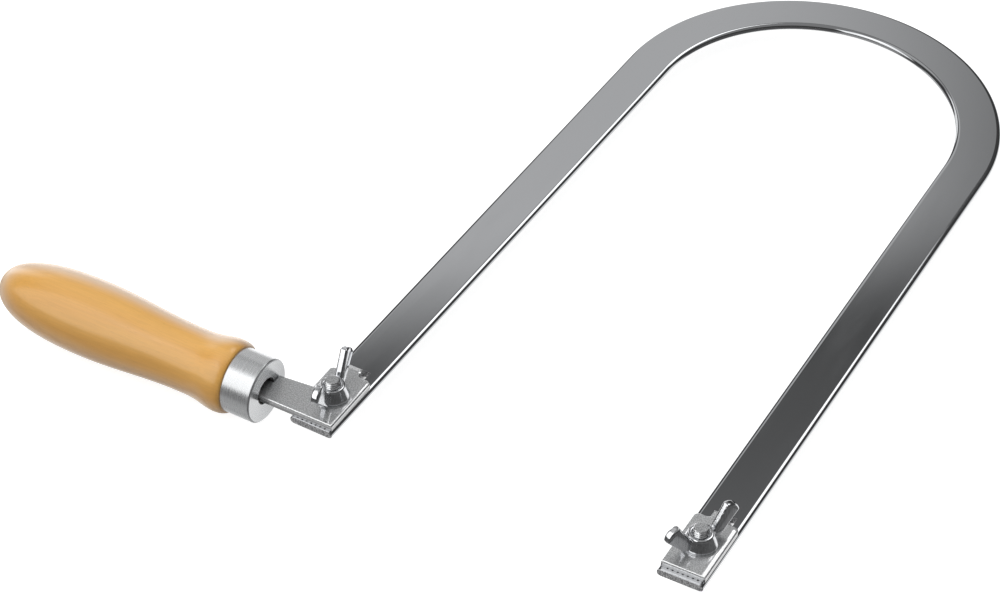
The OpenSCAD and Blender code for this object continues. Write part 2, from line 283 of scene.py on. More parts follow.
def grain_group():
    """The grain that every finish here shares, as one shader node group.

    Noise over Vector times Stretch, so that its blobs lie drawn out. Where it is high it
    gives the colour Pale and the roughness Dull, and where it is low Dark and Bright.
    Height is the noise itself.
    """
    group = bpy.data.node_groups.new("grain", "ShaderNodeTree")
    for name, kind in (
        ("Vector", "Vector"),
        ("Stretch", "Vector"),
        ("Detail", "Float"),
        ("Low", "Float"),
        ("High", "Float"),
        ("Dark", "Color"),
        ("Pale", "Color"),
        ("Bright", "Float"),
        ("Dull", "Float"),
    ):
        group.interface.new_socket(name, in_out="INPUT", socket_type="NodeSocket" + kind)
    results = {"Color": "Color", "Roughness": "Float", "Height": "Float", "Share": "Float"}
    for name, kind in results.items():
        group.interface.new_socket(name, in_out="OUTPUT", socket_type="NodeSocket" + kind)
    given = group.nodes.new("NodeGroupInput").outputs
    inputs = {0: given["Vector"], 1: given["Stretch"]}
    place = add_node(group, "VectorMath", inputs, operation="MULTIPLY").outputs[0]
    inputs = {"Vector": place, "Scale": 1.0, "Detail": given["Detail"]}
    noise = add_node(group, "TexNoise", inputs).outputs["Fac"]
    share = smooth_step(group, noise, given["Low"], given["High"], 0.0, 1.0)
    colour = mix_colours(group, share, given["Dark"], given["Pale"])
    rough = add_node(group, "Mix", {0: share, 2: given["Bright"], 3: given["Dull"]}).outputs[0]
    result = group.nodes.new("NodeGroupOutput")
    for name, socket in zip(results, (colour, rough, noise, share)):
        group.links.new(socket, result.inputs[name])
    return group


grain = grain_group()


def add_grain(tree, vector, stretch, low=0.35, high=0.65, detail=2.0, **values):
    """Places the grain group on a vector, with a material's own values."""
    node = tree.nodes.new("ShaderNodeGroup")
    node.node_tree = grain
    tree.links.new(vector, node.inputs["Vector"])
    values.update(Stretch=stretch, Low=low, High=high, Detail=detail)
    for name, value in values.items():
        node.inputs[name].default_value = value
    return node.outputs


def bump(tree, height, distance):
    """A bump from a height map; distance is the height in metres of one unit."""
    return add_node(tree, "Bump", {"Height": height, "Distance": distance}).outputs[0]


def grid_mesh(name, points, uv, closed_across=True, ends=False):
    """A mesh over a grid of points [along, across, xyz], with uv of the same grid.

    closed_across joins the last column to the first, and ends closes both end rings.
    """
    along, across = points.shape[:2]
    index = np.arange(along * across).reshape(along, across)
    last = np.roll(index, -1, axis=1) if closed_across else index[:, 1:]
    first = index if closed_across else index[:, :-1]
    quads = np.stack([first[:-1], last[:-1], last[1:], first[1:]], axis=-1).reshape(-1, 4)
    faces = quads.tolist()
    if ends:
        faces.append(index[0][::-1].tolist())
        faces.append(index[-1].tolist())
    mesh = bpy.data.meshes.new(name)
    mesh.from_pydata(points.reshape(-1, 3).tolist(), [], faces)
    layer = mesh.uv_layers.new(name="surface")
    corners = np.empty(len(mesh.loops), dtype=np.int32)
    mesh.loops.foreach_get("vertex_index", corners)
    values = uv.reshape(-1, 2)[corners]
    layer.data.foreach_set("uv", values.astype(np.float32).ravel())
    mesh.update()
    return mesh


def make_piece(mesh, materials, body, slot, *nodes):
    """Puts a mesh in the scene with its materials, on its body, in place of CAD nodes."""
    piece = bpy.data.objects.new(mesh.name, mesh)
    bpy.context.scene.collection.objects.link(piece)
    mesh.materials.clear()
    for material in materials:
        mesh.materials.append(material)
    mesh.polygons.foreach_set("use_smooth", [True] * len(mesh.polygons))
    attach(piece, body)
    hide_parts(*nodes)
    return piece


def add_modifier(piece, kind, **settings):
    """Adds a modifier to a piece and sets it."""
    modifier = piece.modifiers.new(kind.lower(), kind)
    for name, value in settings.items():
        setattr(modifier, name, value)
    return modifier


def apply_modifiers(piece):
    """Turns the mesh that a piece's modifiers give into its own."""
    graph = bpy.context.evaluated_depsgraph_get()
    made = bpy.data.meshes.new_from_object(piece.evaluated_get(graph))
    piece.modifiers.clear()
    old = piece.data
    name = old.name
    piece.data = made
    bpy.data.meshes.remove(old)
    made.name = name


def face_outwards(mesh, merge=0.0):
    """Turns all faces of a closed mesh outwards, once points within merge are joined."""
    work = bmesh.new()
    work.from_mesh(mesh)
    if merge:
        bmesh.ops.remove_doubles(work, verts=work.verts, dist=merge)
    bmesh.ops.recalc_face_normals(work, faces=work.faces)
    work.to_mesh(mesh)
    work.free()


def cutting_object(name, solids):
    """One object to cut with, made of closed solids given as (points, faces)."""
    points, faces = [], []
    for solid_points, solid_faces in solids:
        start = sum(len(placed) for placed in points)
        faces += [tuple(start + i for i in face) for face in solid_faces]
        points.append(solid_points)
    mesh = bpy.data.meshes.new(name)
    mesh.from_pydata(np.concatenate(points).tolist(), [], faces)
    face_outwards(mesh)
    cutter = bpy.data.objects.new(name, mesh)
    bpy.context.scene.collection.objects.link(cutter)
    return cutter


def cut(piece, cutter):
    """Cuts a piece with a cutting object, which isn't kept."""
    add_modifier(piece, "BOOLEAN", operation="DIFFERENCE", solver="EXACT", object=cutter)
    apply_modifiers(piece)
    bpy.data.objects.remove(cutter)


def bar_section():
    """Points [n, 2] round the bar: across it, and up from the level of its top face.

    Each rolled edge is a quarter of an ellipse, wider than it is high.
    """
    turn = np.linspace(0, math.pi / 2, edge_steps + 1)
    corners = []
    for quarter in range(4):
        angle = turn + quarter * math.pi / 2
        middle = angle[0] + math.pi / 4
        x = np.sign(math.cos(middle)) * (bar_width / 2 - bar_edge_across)
        x = x + bar_edge_across * np.cos(angle)
        z = np.sign(math.sin(middle)) * (bar_thick / 2 - bar_edge) + bar_edge * np.sin(angle)
        corners.append(np.stack([x, z - bar_thick / 2], axis=-1))
    return np.concatenate(corners)


def bow_path():
    """Points, sideways directions and lengths along the bow's middle line.

    Up the handle side's leg, round the arc at bow_radius, and down the free side's leg.
    """
    turn = np.linspace(math.pi - leg_splay, leg_splay, arc_steps + 1)
    sideways = np.stack([np.cos(turn), np.sin(turn)], axis=-1)
    arc = np.array([0, arc_y]) + bow_radius * sideways
    tips = np.array([[-tip_x, tip_y], [tip_x, tip_y]])
    points = np.concatenate([tips[:1], arc, tips[1:]])
    sideways = np.concatenate([sideways[:1], sideways, sideways[-1:]])
    steps = np.linalg.norm(np.diff(points, axis=0), axis=1)
    return points, sideways, np.concatenate([[0], np.cumsum(steps)])


def bow_mesh():
    """The bar's section carried along the bow's path, with a small bevel at each tip."""
    points, sideways, length = bow_path()
    section = bar_section()
    for end, inner in ((0, 1), (-1, -2)):
        towards = points[inner] - points[end]
        towards = towards / np.linalg.norm(towards)
        at = 1 if end == 0 else len(points) - 1
        points = np.insert(points, at, points[end] + tip_bevel * towards, axis=0)
        sideways = np.insert(sideways, at, sideways[end], axis=0)
        length = np.insert(length, at, length[end] + (tip_bevel if end == 0 else -tip_bevel))
    shrink = np.ones(len(points))
    shrink[[0, -1]] = 1 - 2 * tip_bevel / bar_width
    lift = np.zeros(len(points))
    lift[[0, -1]] = 1
    across = section[None, :, 0] * shrink[:, None]
    middle = -bar_thick / 2
    thick_share = 1 - 2 * tip_bevel / bar_thick
    flat = middle + (section[:, 1] - middle) * thick_share
    level = np.where(lift[:, None] > 0, flat[None, :], section[None, :, 1])
    place = points[:, None, :] + sideways[:, None, :] * across[..., None]
    grid = np.concatenate([place, level[..., None]], axis=-1)
    along = np.broadcast_to(length[:, None], across.shape)
    uv = np.stack([across, along], axis=-1)
    return grid_mesh("bow_bar", grid, uv, ends=True)


def prism(corners, path_from, path_to):
    """A closed prism: corners [n, 3] carried from one offset to another."""
    n = len(corners)
    start = np.asarray(corners) + np.asarray(path_from)
    end = np.asarray(corners) + np.asarray(path_to)
    sides = [(i, (i + 1) % n, n + (i + 1) % n, n + i) for i in range(n)]
    caps = [tuple(range(n))[::-1], tuple(range(n, 2 * n))]
    return np.concatenate([start, end]), sides + caps


def leg_frame(side, y):
    """Origin and axes of a leg at a distance y from its tip: X outwards, Y up the leg."""
    angle = side * leg_splay
    outwards = side * np.array([math.cos(angle), math.sin(angle), 0])
    upwards = np.array([-math.sin(angle), math.cos(angle), 0])
    origin = np.array([side * tip_x, tip_y, 0]) + y * upwards
    return origin, np.array([outwards, upwards, [0, 0, 1]])


bolt_places = {"handle": 0.0125, "free": 0.0134}
leg_sides = {"handle": -1, "free": 1}
neck_hole = 0.0052
slot_near = 0.0133
slot_length = 0.0033
slot_width = 0.0074
slot_shift = 0.0006
plate_shift = 0.0002
jaw_reach = 0.0118
tooth_pitch = 0.00165
tooth_depth = 0.00013
tooth_width = 0.00035
tooth_show = 0.0003
tooth_run = 0.007
tooth_count = 7
tooth_places = plate_shift + (np.arange(tooth_count) - (tooth_count - 1) / 2) * tooth_pitch
overrun = 0.001


def tooth_prism(x, tip, start, end):
    """One groove of a jaw: a flat V, its tip at a level, from one distance to another."""
    half = 2 * tooth_width
    corners = [(x - half, 0, -tip), (x, 0, tip), (x + half, 0, -tip)]
    return prism(corners, (0, start, 0), (0, end, 0))


def tip_openings():
    """The square holes, slots and grooves of both tips, as one cutting object."""
    half = neck_hole / 2
    slot_left = slot_shift - slot_width / 2
    slot_right = slot_shift + slot_width / 2
    run = (-jaw_reach - tooth_show, tooth_run - jaw_reach)
    solids = []
    for name, side in leg_sides.items():
        made = []
        for x0, x1, y0, y1 in (
            (-half, half, -half, half),
            (slot_left, slot_right, slot_near, slot_near + slot_length),
        ):
            corners = [(x0, y0, 0), (x1, y0, 0), (x1, y1, 0), (x0, y1, 0)]
            made.append(prism(corners, (0, 0, -bar_thick - overrun), (0, 0, overrun)))
        for x in tooth_places:
            made.append(tooth_prism(x, -tooth_depth, *run))
        origin, axes = leg_frame(side, bolt_places[name])
        solids += [(origin + points @ axes, faces) for points, faces in made]
    cutter = cutting_object("tip_openings", solids)
    for material in (chrome, cut_steel):
        cutter.data.materials.append(material)
    torn_faces = [1] * len(cutter.data.polygons)
    cutter.data.polygons.foreach_set("material_index", torn_faces)
    return cutter


chrome, tree, shader = new_material(
    "hard_chrome", {"Base Color": (0.56, 0.57, 0.585, 1.0), "Metallic": 1.0}
)
surface = add_node(tree, "UVMap", uv_map="surface").outputs[0]
haze = add_grain(tree, surface, (120.0, 25.0, 1.0), 0.3, 0.75, 3.0, Bright=0.03, Dull=0.075)
grind = add_grain(tree, surface, (9000.0, 30.0, 1.0), detail=3.0)
link(tree, haze["Roughness"], shader, "Roughness")
link(tree, bump(tree, grind["Height"], grind_height), shader, "Normal")

# Sheared ends and punched walls are torn steel under the same thin plating
cut_steel, tree, shader = new_material("cut_steel", {"Metallic": 1.0})
place = add_node(tree, "TexCoord").outputs["Object"]
torn = add_grain(
    tree,
    place,
    (2000.0, 2000.0, 1500.0),
    detail=3.0,
    Dark=(0.3, 0.3, 0.31, 1.0),
    Pale=(0.85, 0.85, 0.86, 1.0),
    Bright=0.34,
    Dull=0.6,
)
link(tree, torn["Color"], shader, "Base Color")
link(tree, torn["Roughness"], shader, "Roughness")
link(tree, bump(tree, torn["Height"], torn_height), shader, "Normal")

bow = make_piece(bow_mesh(), (chrome, cut_steel), "bow", "chrome_bar", "bow")
for end in (-1, -2):
    bow.data.polygons[end].material_index = 1
cut(bow, tip_openings())
add_modifier(
    bow, "BEVEL", width=opening_bevel, segments=2, limit_method="ANGLE", angle_limit=bevel_angle
)
add_modifier(bow, "WEIGHTED_NORMAL", keep_sharp=True)

# Clamp plate and handle bracket
# Both are blanked from sheet steel, with the tab bent down into the bow and the jaw's
# teeth pressed in, and then zinc plated. Blanking rolls the top edges over and leaves
# a burnished band above a torn one on the sides.
plate_thick = 0.0023
plate_width = 0.0146
shoulder_reach = 0.0114
corner_radius = 0.0015
tab_width = 0.0056
tab_run = 0.0019
tab_depth = 0.0022
fillet_radius = 0.0014
bend_radius = 0.0006
bend_cuts = 12
plate_hole = 0.00305
strip_root_width = 0.0125
strip_width = 0.0113
ferrule_reach = 0.0191
tang_width = 0.0078
tang_length = 0.048
tang_point = 0.0026
tang_taper = 0.012
bracket_turn = math.radians(0.7)
arc_points = 12
hole_points = 64
# How far the top edge rolls in, and how far it falls, on each plate's side towards +X
wide_rolls = {"handle": (0.0009, 0.0004), "free": (0.0015, 0.0005)}
roll_front = 0.0004
roll_front_fall = 0.0006
roll_plain = 0.0006
roll_plain_fall = 0.0004
roll_power = 1.5
roll_steps = 10
slight_turn = 0.9
burr_round = 0.0001
burr_height = 0.00002
torn_start = 0.00012
torn_end_shares = (0.45, 0.55)
facing_front = 0.7
facing_wide = 0.99
sharp_angle = math.radians(35)
crystal_height = 0.000008


def arc_corner(centre, radius, start, end):
    """Points [n, 2] along a corner's arc, from one angle to another, in degrees."""
    angle = np.radians(np.linspace(start, end, arc_points))
    return np.array(centre) + radius * np.stack([np.cos(angle), np.sin(angle)], axis=-1)


def blank_outline(has_strip):
    """Outline [n, 2] of a flat blank round its bolt, with the tab before it is bent.

    The handle's blank runs out into the strip and the tapered tang.
    """
    left = plate_shift - plate_width / 2
    right = plate_shift + plate_width / 2
    tab_left = slot_shift - tab_width / 2
    tab_right = slot_shift + tab_width / 2
    bend_length = (bend_radius + plate_thick / 2) * math.pi / 2
    tab_end = shoulder_reach + tab_run + bend_length + tab_depth - bend_radius
    inner = shoulder_reach - corner_radius
    outer = shoulder_reach + fillet_radius
    tang_middle = tang_width / 2 - jaw_reach
    taper_x = ferrule_reach + tang_length - tang_taper
    tang = [
        (taper_x, tang_middle - tang_width / 2),
        (taper_x + tang_taper, tang_middle - tang_point / 2),
        (taper_x + tang_taper, tang_middle + tang_point / 2),
        (taper_x, tang_middle + tang_width / 2),
        (ferrule_reach, tang_middle + tang_width / 2),
        (ferrule_reach, strip_width - jaw_reach),
        (right, strip_root_width - jaw_reach),
    ]
    return np.concatenate([
        [(left, -jaw_reach)],
        tang if has_strip else [(right, -jaw_reach)],
        arc_corner((right - corner_radius, inner), corner_radius, 0, 90),
        arc_corner((tab_right + fillet_radius, outer), fillet_radius, 270, 180),
        [(tab_right, tab_end), (tab_left, tab_end)],
        arc_corner((tab_left - fillet_radius, outer), fillet_radius, 360, 270),
        arc_corner((left + corner_radius, inner), corner_radius, 90, 180),
    ])


def inward_offsets(outline, widths):
    """Offset [n, 2] of each point that draws both its edges in by their own widths."""
    step = np.roll(outline, -1, axis=0) - outline
    step = step / np.linalg.norm(step, axis=1)[:, None]
    after = np.stack([-step[:, 1], step[:, 0]], axis=-1)
    before = np.roll(after, 1, axis=0)
    width_before = np.roll(widths, 1)
    dot = np.sum(before * after, axis=1)
    slight = dot > slight_turn
    even = (width_before + widths) / 2 / (1 + dot)
    square = np.where(slight, 1.0, 1 - dot**2)
    share_before = np.where(slight, even, (width_before - widths * dot) / square)
    share_after = np.where(slight, even, (widths - width_before * dot) / square)
    return share_before[:, None] * before + share_after[:, None] * after


def blank_mesh(name, has_strip, origin, axes, roll_wide, roll_wide_fall):
    """A blank with its rolled edges, its tab bent down, put in place.

    Its sides are the outline carried up from a small burr, and the top edge rolls over
    in a quarter of a superellipse, widest on the side that faces world +X. Bending turns
    whatever lies behind the shoulders about a line under the sheet.
    """
    outline = blank_outline(has_strip)
    step = np.roll(outline, -1, axis=0) - outline
    step = step / np.linalg.norm(step, axis=1)[:, None]
    outwards = np.stack([step[:, 1], -step[:, 0]], axis=-1)
    front = outwards[:, 1] < -facing_front
    wide = outwards @ axes[:2, 0] > facing_wide
    widths = np.select([wide, front], [roll_wide, roll_front], roll_plain)
    fall = np.select([wide, front], [roll_wide_fall, roll_front_fall], roll_plain_fall)
    fall = np.maximum(fall, np.roll(fall, 1))
    full = inward_offsets(outline, widths)
    burr = inward_offsets(outline, np.full(len(outline), burr_round))
    rows = [outline + burr, outline]
    levels = [np.zeros(len(outline)), np.full(len(outline), burr_round)]
    for a in np.linspace(0, math.pi / 2, roll_steps):
        across = math.cos(a) ** (2 / roll_power)
        rows.append(outline + (1 - across) * full)
        levels.append(plate_thick - fall * (1 - math.sin(a) ** (2 / roll_power)))
    grid = np.concatenate([np.array(rows), np.array(levels)[..., None]], axis=-1)
    uv = np.stack([grid[..., 0], grid[..., 2]], axis=-1)
    mesh = grid_mesh(name, grid, uv, ends=True)
    bend_y = shoulder_reach + tab_run
    middle_radius = bend_radius + plate_thick / 2
    work = bmesh.new()
    work.from_mesh(mesh)
    for y in np.linspace(bend_y, bend_y + middle_radius * math.pi / 2, bend_cuts):
        geometry = work.verts[:] + work.edges[:] + work.faces[:]
        bmesh.ops.bisect_plane(work, geom=geometry, plane_co=(0, y, 0), plane_no=(0, 1, 0))
    work.to_mesh(mesh)
    work.free()
    points = np.empty(len(mesh.vertices) * 3, dtype=np.float32)
    mesh.vertices.foreach_get("co", points)
    points = points.reshape(-1, 3).astype(float)
    past = np.clip(points[:, 1] - bend_y, 0, None)
    turn = np.clip(past / middle_radius, 0, math.pi / 2)
    straight = np.clip(past - middle_radius * math.pi / 2, 0, None)
    radius = bend_radius + points[:, 2]
    bent = past > 0
    y = np.where(bent, bend_y + radius * np.sin(turn), points[:, 1])
    z = np.where(bent, radius * np.cos(turn) - bend_radius - straight, points[:, 2])
    placed = origin + np.stack([points[:, 0], y, z], axis=-1) @ axes
    mesh.vertices.foreach_set("co", placed.astype(np.float32).ravel())
    face_outwards(mesh)
    return mesh


def plate_openings(origin, axes):
    """The bolt hole and the jaw's grooves, as one cutting object."""
    turn = np.linspace(0, 2 * math.pi, hole_points, endpoint=False)
    ring = plate_hole * np.stack([np.cos(turn), np.sin(turn), 0 * turn], axis=-1)
    run = (-jaw_reach - overrun, tooth_run - jaw_reach)
    made = [prism(ring, (0, 0, -overrun), (0, 0, plate_thick + overrun))]
    for x in tooth_places:
        made.append(tooth_prism(x, tooth_depth, *run))
    placed = [(origin + points @ axes, faces) for points, faces in made]
    return cutting_object("plate_openings", placed)


zinc, tree, shader = new_material(
    "zinc_plate",
    {
        "Metallic": 0.8,
        "Coat Weight": 1.0,
        "Coat Roughness": 0.06,
        "Coat IOR": 3.4,
    },
)
place = add_node(tree, "TexCoord").outputs["Object"]
surface = add_node(tree, "UVMap", uv_map="surface").outputs[0]
level = add_node(tree, "SeparateXYZ", {0: surface}).outputs["Y"]
torn_end = [plate_thick * share for share in torn_end_shares]
above = smooth_step(tree, level, burr_height, torn_start, 0.0, 1.0)
below = smooth_step(tree, level, *torn_end, 1.0, 0.0)
torn = maths(tree, "MULTIPLY", above, below)
crystals = add_grain(
    tree,
    place,
    (2600.0, 2600.0, 2600.0),
    detail=3.0,
    Dark=(0.5, 0.51, 0.52, 1.0),
    Pale=(0.9, 0.91, 0.92, 1.0),
    Bright=0.3,
    Dull=0.42,
)
colour = mix_colours(tree, torn, crystals["Color"], (0.3, 0.3, 0.31, 1.0))
link(tree, colour, shader, "Base Color")
link(tree, crystals["Roughness"], shader, "Roughness")
link(tree, bump(tree, crystals["Height"], crystal_height), shader, "Normal")

for side, node, name, body in (
    ("handle", "handle_bracket", "bracket_plate", "handle_side"),
    ("free", "free_clamp_plate", "free_plate", "free_jaw"),
):
    origin, axes = leg_frame(leg_sides[side], bolt_places[side])
    if side == "handle":
        c, s = math.cos(bracket_turn), math.sin(bracket_turn)
        axes = np.array([[c, -s, 0], [s, c, 0], [0, 0, 1]]) @ axes
    mesh = blank_mesh(name, side == "handle", origin, axes, *wide_rolls[side])
    plate = make_piece(mesh, (zinc,), body, "zinc_plate", node)
    cut(plate, plate_openings(origin, axes))
    plate.data.set_sharp_from_angle(angle=sharp_angle)
    add_modifier(plate, "WEIGHTED_NORMAL", keep_sharp=True)

# Ferrule
# A cap drawn from thin steel, with a rounded rim and a punched hole in its face, turned
# smooth and zinc plated. It is pressed over the spigot of the handle.
grip = next(m for m in frame["record"]["mounts"] if m["name"] == "ferrule_grip")
ferrule_radius = grip["dims"]["r_mm"] / 1000
ferrule_rim = 0.0006
ferrule_length = 0.0106
ferrule_wall = 0.001
ferrule_hole = 0.0045
hole_round = 0.0003
back_round = 0.0003
butt_direction = -np.array(grip["axis"])
butt_direction = butt_direction / np.linalg.norm(butt_direction)
grip_middle = 0.0058
line_height = 0.0000012
merge_distance = 0.000001
face_centre = np.array(grip["pos_m"]) - grip_middle * butt_direction
handle_side_axis = np.cross([0, 0, 1], butt_direction)
round_steps = 10


def quarter(centre, radius, start, steps=round_steps):
    """Points (length, radius) of a quarter turn round a centre, from a start angle."""
    angle = math.radians(start) + np.linspace(0, math.pi / 2, steps)
    return np.array(centre) + radius * np.stack([np.cos(angle), np.sin(angle)], axis=-1)


def turned_mesh(name, profile, origin, axis, side, columns=192):
    """A surface of revolution: profile points (length, radius) turned about an axis.

    The point at (s, r) and angle t is origin + s axis + r (cos t side + sin t up).
    """
    up = np.cross(axis, side)
    turn = np.linspace(0, 2 * math.pi, columns, endpoint=False)
    ring = np.cos(turn)[:, None] * side + np.sin(turn)[:, None] * up
    s, r = profile[:, 0], profile[:, 1]
    grid = origin + s[:, None, None] * axis + r[:, None, None] * ring[None]
    reach = np.concatenate([[0], np.cumsum(np.linalg.norm(np.diff(profile, axis=0), axis=1))])
    uv = np.stack(np.meshgrid(turn / (2 * math.pi), reach), axis=-1)
    mesh = grid_mesh(name, grid, uv)
    face_outwards(mesh, merge_distance)
    return mesh


inner_radius = ferrule_radius - ferrule_wall
rim_centre = (ferrule_rim, ferrule_radius - ferrule_rim)
ferrule_profile = np.concatenate([
    [
        (ferrule_length - back_round, inner_radius),
        (ferrule_wall, inner_radius),
        (ferrule_wall, ferrule_hole),
    ],
    quarter((hole_round, ferrule_hole + hole_round), hole_round, 270)[::-1],
    quarter(rim_centre, ferrule_rim, 90)[::-1],
    quarter((ferrule_length - back_round, ferrule_radius - back_round), back_round, 0)[::-1],
    [(ferrule_length, inner_radius), (ferrule_length - back_round, inner_radius)],
])

steel, tree, shader = new_material("ferrule_steel", {"Metallic": 0.85})
surface = add_node(tree, "UVMap", uv_map="surface").outputs[0]
lines = add_grain(
    tree,
    surface,
    (3.0, 3000.0, 1.0),
    detail=3.0,
    Dark=(0.66, 0.67, 0.68, 1.0),
    Pale=(0.72, 0.73, 0.74, 1.0),
    Bright=0.25,
    Dull=0.33,
)
link(tree, lines["Color"], shader, "Base Color")
link(tree, lines["Roughness"], shader, "Roughness")
link(tree, bump(tree, lines["Height"], line_height), shader, "Normal")
mesh = turned_mesh("ferrule_cap", ferrule_profile, face_centre, butt_direction, handle_side_axis)
ferrule = make_piece(mesh, (steel,), "handle_side", "ferrule_steel", "ferrule")
add_modifier(ferrule, "WEIGHTED_NORMAL", keep_sharp=True)

# Wooden handle
# Turned from one piece of pale hardwood, with a bead against the ferrule, a waist, a
# belly and a rounded butt, and dipped in amber lacquer.
wood_length = 0.09
belly_radius = 0.01265
waist_radius = 0.01068
bead_radius = 0.01215
shoulder_radius = 0.0108
bead_length = 0.0037
waist_place = 0.0175
belly_place = 0.0549
butt_fullness = 2.4
waist_power = 1.5
tang_bore = 0.008
bore_edge = 0.0003
bead_rows = 14
body_rows = 90
butt_rows = 60
fibre_height = 0.000008
lacquer_height = 0.000006
pore_strength = 0.16


def ease(t):
    """Half a cosine wave, from 0 at 0 to 1 at 1."""
    return (1 - np.cos(math.pi * t)) / 2


def wood_radius(x):
    """Radius at x behind the ferrule: a quarter ellipse up to the bead, cosine waves down
    to the waist and up to the belly, and a superellipse to the butt."""
    bead = shoulder_radius + (bead_radius - shoulder_radius) * np.sqrt(
        np.clip(1 - (1 - x / bead_length) ** 2, 0, 1)
    )
    fall_share = np.clip((waist_place - x) / (waist_place - bead_length), 0, 1)
    fall = bead_radius + (waist_radius - bead_radius) * ease(1 - fall_share**waist_power)
    rise_share = np.clip((x - waist_place) / (belly_place - waist_place), 0, 1)
    rise = waist_radius + (belly_radius - waist_radius) * ease(rise_share)
    butt_share = np.clip((x - belly_place) / (wood_length - belly_place), 0, 1)
    butt = belly_radius * (1 - butt_share**butt_fullness) ** (1 / butt_fullness)
    return np.select([x < bead_length, x < waist_place, x < belly_place], [bead, fall, rise], butt)


def wood_profile():
    """Points (length from the ferrule's face, radius), close together at the bead and butt."""
    bead = bead_length * np.linspace(0, 1, bead_rows) ** 2
    body = np.linspace(bead_length, belly_place, body_rows)[1:]
    butt_share = np.sin(np.linspace(0, math.pi / 2, butt_rows))[1:]
    butt = belly_place + (wood_length - belly_place) * butt_share
    x = np.concatenate([bead, body, butt])
    outside = np.stack([ferrule_length + x, wood_radius(x)], axis=-1)
    spigot = [
        (ferrule_wall + tang_bore, 0.0),
        (ferrule_wall + tang_bore, ferrule_hole),
        (ferrule_wall, ferrule_hole),
        (ferrule_wall, inner_radius),
        (ferrule_length, inner_radius),
    ]
    return np.concatenate([spigot, outside])


wood, tree, shader = new_material(
    "lacquered_wood",
    {
        "Roughness": 0.45,
        "Coat Weight": 0.85,
        "Coat Roughness": 0.17,
        "Coat IOR": 1.5,
    },
)
place = add_node(tree, "TexCoord").outputs["Object"]
figure = add_grain(
    tree,
    place,
    (8.0, 90.0, 90.0),
    0.3,
    0.7,
    3.0,
    Dark=(0.755, 0.377, 0.078, 1.0),
    Pale=(0.835, 0.452, 0.11, 1.0),
)
fibre = add_grain(
    tree,
    place,
    (70.0, 2100.0, 2100.0),
    detail=3.0,
    Dark=(0.965,) * 4,
    Pale=(1.02,) * 4,
)
pores = add_grain(tree, place, (420.0, 3200.0, 3200.0), 0.66, 0.76, 1.0)
tone = mix_colours(tree, 1.0, figure["Color"], fibre["Color"], blend_type="MULTIPLY")
dark = maths(tree, "MULTIPLY", pores["Share"], pore_strength)
tone = mix_colours(tree, dark, tone, (0.4, 0.17, 0.04, 1.0))
# Painted shade: the bore inside the ferrule's hole is painted near black, as the shade in that
# deep recess
surface = add_node(tree, "UVMap", uv_map="surface").outputs[0]
reach = add_node(tree, "SeparateXYZ", {0: surface}).outputs["Y"]
bore_shade_end = tang_bore + ferrule_hole
bore_painted_shade = smooth_step(tree, reach, bore_shade_end, bore_shade_end + bore_edge, 1.0, 0.0)
tone = mix_colours(tree, bore_painted_shade, tone, (0.02, 0.015, 0.01, 1.0))
# Painted sheen: the base colour is mixed towards pale cream where the surface is seen at a low
# angle, and painted top light makes it strongest on the upper side, as if lit from above
facing = add_node(tree, "LayerWeight", {"Blend": 0.5}).outputs["Facing"]
normal = add_node(tree, "NewGeometry").outputs["Normal"]
upward = add_node(tree, "SeparateXYZ", {0: normal}).outputs["Z"]
rise = smooth_step(tree, facing, 0.3, 0.65, 0.0, 0.48)
fall = smooth_step(tree, facing, 0.65, 0.95, 1.0, 0.1)
painted_sheen = maths(tree, "MULTIPLY", rise, fall)
lit = smooth_step(tree, upward, -0.2, 0.8, 0.4, 1.0)
painted_sheen = maths(tree, "MULTIPLY", painted_sheen, lit)
# The painted sheen and top light are mixed into the lacquer's colour here
tone = mix_colours(tree, painted_sheen, tone, (1.0, 0.92, 0.84, 1.0))
link(tree, tone, shader, "Base Color")
link(tree, bump(tree, fibre["Height"], fibre_height), shader, "Normal")
link(tree, bump(tree, fibre["Height"], lacquer_height), shader, "Coat Normal")
mesh = turned_mesh("turned_handle", wood_profile(), face_centre, butt_direction, handle_side_axis)
handle = make_piece(mesh, (wood,), "handle_side", "lacquered_wood", "wood_handle")
add_modifier(handle, "WEIGHTED_NORMAL", keep_sharp=True)

# Clamp bolts
# Round-headed M5 bolts with a rolled thread and a bevelled end, zinc plated, pushed up
# through the bow.
bolt_radius = 0.00245
bolt_height = 0.009
bolt_bevel = 0.00035
thread_pitch = 0.0008
thread_depth = 0.00045
head_radius = 0.0058
head_height = 0.0024
thread_columns = 72
rows_a_pitch = 10
flank_slope = 1.35
crest_share = 0.2
head_rows = 24
head_columns = 96
bolt_grain_height = 0.000002
upright = np.array([0, 0, 1.0])
level_side = np.array([1.0, 0, 0])


def thread_mesh(name, centre):
    """The bolt's threaded shank: radius falls by a rounded V with z - pitch t / (2 pi).

    It starts at the bow's underside and is capped by the bevelled end.
    """
    rows = int(bolt_height / thread_pitch * rows_a_pitch)
    z = np.linspace(-bar_thick, bolt_height, rows)
    turn = np.linspace(0, 2 * math.pi, thread_columns, endpoint=False)
    phase = z[:, None] / thread_pitch - turn[None] / (2 * math.pi)
    wave = np.abs(2 * (phase - np.floor(phase)) - 1)
    radius = bolt_radius - thread_depth * np.clip(flank_slope * wave - crest_share, 0, 1)
    bevel = bolt_radius - np.clip(z - (bolt_height - bolt_bevel), 0, None)
    radius = np.minimum(radius, bevel[:, None])
    x = centre[0] + radius * np.cos(turn)
    y = centre[1] + radius * np.sin(turn)
    grid = np.stack([x, y, np.broadcast_to(z[:, None], x.shape)], axis=-1)
    uv = np.stack(np.meshgrid(turn / (2 * math.pi), z), axis=-1)
    return grid_mesh(name, grid, uv, ends=True)


